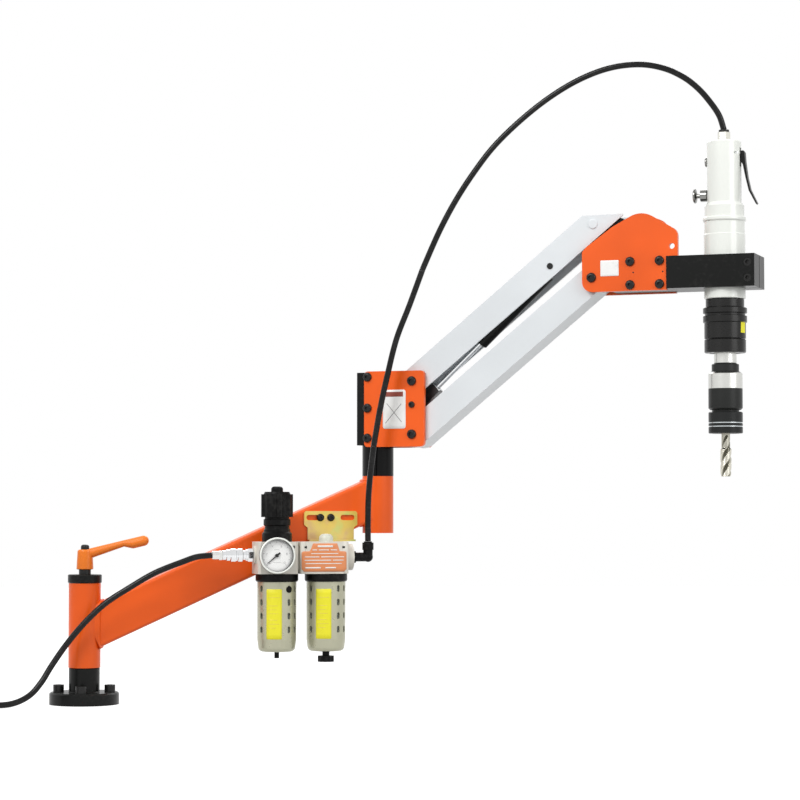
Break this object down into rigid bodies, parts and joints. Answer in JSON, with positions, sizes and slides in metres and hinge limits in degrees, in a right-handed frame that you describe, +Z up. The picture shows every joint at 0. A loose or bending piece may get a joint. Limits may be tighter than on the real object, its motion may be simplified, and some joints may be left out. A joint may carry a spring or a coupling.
{
  "type": "arm tapping machine",
  "caption": "Pneumatic tapping arm: swivelling base, parallelogram links with a gas strut, air motor with quick-change chuck and tap, air service unit, hoses.",
  "frame": {"origin": "centre of the base flange, on the bench face that it is bolted to", "axes": "+Z up along the base post, +X to the right in the picture, towards the tool end, +Y away from the camera"},
  "size_m": [1.4254, 0.4097, 1.082],
  "materials": {
    "orange_enamel": "gloss enamel",
    "pale_enamel": "satin enamel",
    "black_enamel": "gloss enamel",
    "blackened_steel": "satin black oxide",
    "bright_steel": "turned",
    "chrome": "polished",
    "zinc_casting": "satin paint",
    "gold_zinc": "yellow zinc plate",
    "bronze": "oiled bush",
    "black_plastic": "moulded",
    "black_tube": "smooth polyurethane tube",
    "clear_window": "clear",
    "bowl_window": "clear polycarbonate",
    "coated_tool_steel": "ground and coated"
  },
  "bodies": {
    "base": {"base_flange": "black_enamel", "flange_bolts": "blackened_steel", "base_post": "bright_steel", "cap_ring": "black_enamel", "clamp_stud": "blackened_steel", "supply_coil": "black_tube", "supply_plug": "bright_steel"},
    "clamp_lever": {"clamp_lever": "orange_enamel", "lever_screw": "blackened_steel"},
    "lower_arm": {"lower_arm": "orange_enamel", "arm_bushes": "bronze", "frl_bracket": "gold_zinc", "bracket_bolts": "blackened_steel", "regulator_body": "zinc_casting", "regulator_bonnet": "black_plastic", "gauge_case": "black_plastic", "gauge_lens": "clear_window", "lubricator_body": "zinc_casting", "sight_dome": "bowl_window", "bowl_rings": "black_plastic", "filter_guard": "zinc_casting", "lubricator_guard": "zinc_casting", "bowl_liners": "bowl_window", "inlet_coupler": "chrome", "supply_fitting": "bright_steel", "outlet_elbow": "black_plastic", "tool_hose_lower": "black_tube", "supply_hose": "black_tube"},
    "regulator_knob": {"regulator_knob": "black_plastic"},
    "gauge_needle": {"gauge_needle": "black_plastic"},
    "filter_drain": {"filter_drain": "black_plastic"},
    "lubricator_drain": {"lubricator_drain": "black_plastic"},
    "coupler_sleeve": {"coupler_sleeve": "chrome"},
    "post": {"swivel_post": "black_enamel", "pivot_block": "black_enamel", "block_plates": "orange_enamel", "block_bolts": "blackened_steel", "tool_hose_middle": "black_tube"},
    "lower_link": {"lower_link": "pale_enamel"},
    "upper_link": {"upper_link": "pale_enamel", "strut_pin": "blackened_steel"},
    "gas_rod": {"gas_rod": "chrome"},
    "gas_cylinder": {"gas_cylinder": "black_enamel"},
    "head": {"head_plates": "orange_enamel", "head_lug": "black_enamel", "head_bolts": "blackened_steel", "motor_holder": "black_enamel", "holder_bolts": "blackened_steel", "motor_body": "pale_enamel", "motor_head": "pale_enamel", "inlet_nut": "chrome", "reverse_guide": "chrome", "tool_hose_upper": "black_tube"},
    "throttle_lever": {"throttle_lever": "black_enamel"},
    "reverse_button": {"reverse_button": "bright_steel"},
    "spindle": {"chuck_body": "blackened_steel"},
    "chuck_sleeve": {"chuck_sleeve": "blackened_steel"},
    "tap_holder": {"tap_adapter": "bright_steel", "tap": "coated_tool_steel"},
    "adapter_ring": {"adapter_ring": "blackened_steel"}
  },
  "joints": [
    {"name": "clamp_lever_turn", "type": "hinge", "parent": "base", "child": "clamp_lever", "pos_m": [0, 0, 0.27], "axis": [0, 0, 1], "range_deg": [0, 120]},
    {"name": "base_swivel", "type": "hinge", "parent": "base", "child": "lower_arm", "pos_m": [0, 0, 0.2], "axis": [0, 0, 1], "range_deg": [-120, 120], "deforming": ["supply_hose"]},
    {"name": "knob_turn", "type": "hinge", "parent": "lower_arm", "child": "regulator_knob", "pos_m": [0.31821, 0.00926, 0.3], "axis": [0, 0, 1], "range_deg": [-170, 170]},
    {"name": "needle_turn", "type": "hinge", "parent": "lower_arm", "child": "gauge_needle", "pos_m": [0.31552, -0.02336, 0.246], "axis": [-0.2419, 0.9703, 0], "range_deg": [0, 260]},
    {"name": "filter_drain_turn", "type": "hinge", "parent": "lower_arm", "child": "filter_drain", "pos_m": [0.31821, 0.00926, 0.07], "axis": [0, 0, 1], "range_deg": [-90, 90]},
    {"name": "lubricator_drain_turn", "type": "hinge", "parent": "lower_arm", "child": "lubricator_drain", "pos_m": [0.39923, 0.02946, 0.07], "axis": [0, 0, 1], "range_deg": [-90, 90]},
    {"name": "sleeve_pull", "type": "slide", "parent": "lower_arm", "child": "coupler_sleeve", "axis": [0.9703, 0.2419, 0], "range_m": [0, 0.004], "stiffness_N_per_m": 800, "springref_m": -0.004},
    {"name": "post_swivel", "type": "hinge", "parent": "lower_arm", "child": "post", "pos_m": [0.48515, 0.12096, 0.35], "axis": [0, 0, 1], "range_deg": [-100, 100], "deforming": ["tool_hose_lower"]},
    {"name": "arm_lift", "type": "hinge", "parent": "post", "child": "lower_link", "pos_m": [0.55563, 0.09531, 0.44876], "axis": [-0.342, -0.9397, 0], "range_deg": [-45, 8], "deforming": ["tool_hose_middle", "tool_hose_upper"]},
    {"name": "upper_link_turn", "type": "hinge", "parent": "post", "child": "upper_link", "pos_m": [0.55563, 0.09531, 0.53876], "axis": [-0.342, -0.9397, 0], "range_deg": [-45, 8]},
    {"name": "rod_turn", "type": "hinge", "parent": "post", "child": "gas_rod", "pos_m": [0.55563, 0.09531, 0.49876], "axis": [-0.342, -0.9397, 0], "range_deg": [-42.39, 7.54]},
    {"name": "cylinder_turn", "type": "hinge", "parent": "upper_link", "child": "gas_cylinder", "pos_m": [0.78191, 0.01295, 0.72604], "axis": [-0.342, -0.9397, 0], "range_deg": [-0.46, 2.61]},
    {"name": "head_level", "type": "hinge", "parent": "lower_link", "child": "head", "pos_m": [0.85139, -0.01234, 0.70363], "axis": [-0.342, -0.9397, 0], "range_deg": [-8, 45]},
    {"name": "throttle_press", "type": "hinge", "parent": "head", "child": "throttle_lever", "pos_m": [1.0741, -0.0934, 0.90263], "axis": [0.342, 0.9397, 0], "range_deg": [0, 10], "stiffness_Nm_per_rad": 3, "springref_deg": -10},
    {"name": "reverse_press", "type": "slide", "parent": "head", "child": "reverse_button", "axis": [0.9397, -0.342, 0], "range_m": [0, 0.005], "stiffness_N_per_m": 600, "springref_m": -0.003},
    {"name": "spindle_spin", "type": "hinge", "parent": "head", "child": "spindle", "pos_m": [1.05342, -0.08587, 0.6], "axis": [0, 0, 1], "continuous": true},
    {"name": "chuck_sleeve_pull", "type": "slide", "parent": "spindle", "child": "chuck_sleeve", "axis": [0, 0, -1], "range_m": [0, 0.006], "stiffness_N_per_m": 800, "springref_m": -0.006},
    {"name": "adapter_pull", "type": "slide", "parent": "spindle", "child": "tap_holder", "axis": [0, 0, -1], "range_m": [0, 0.05]},
    {"name": "adapter_ring_push", "type": "slide", "parent": "tap_holder", "child": "adapter_ring", "axis": [0, 0, 1], "range_m": [0, 0.0025], "stiffness_N_per_m": 600, "springref_m": -0.003}
  ],
  "couplings": [
    {"joint": "upper_link_turn", "follows": "arm_lift", "ratio": 1},
    {"joint": "rod_turn", "follows": "arm_lift", "ratio": 0.942},
    {"joint": "cylinder_turn", "follows": "arm_lift", "ratio": -0.058},
    {"joint": "head_level", "follows": "arm_lift", "ratio": -1}
  ]
}
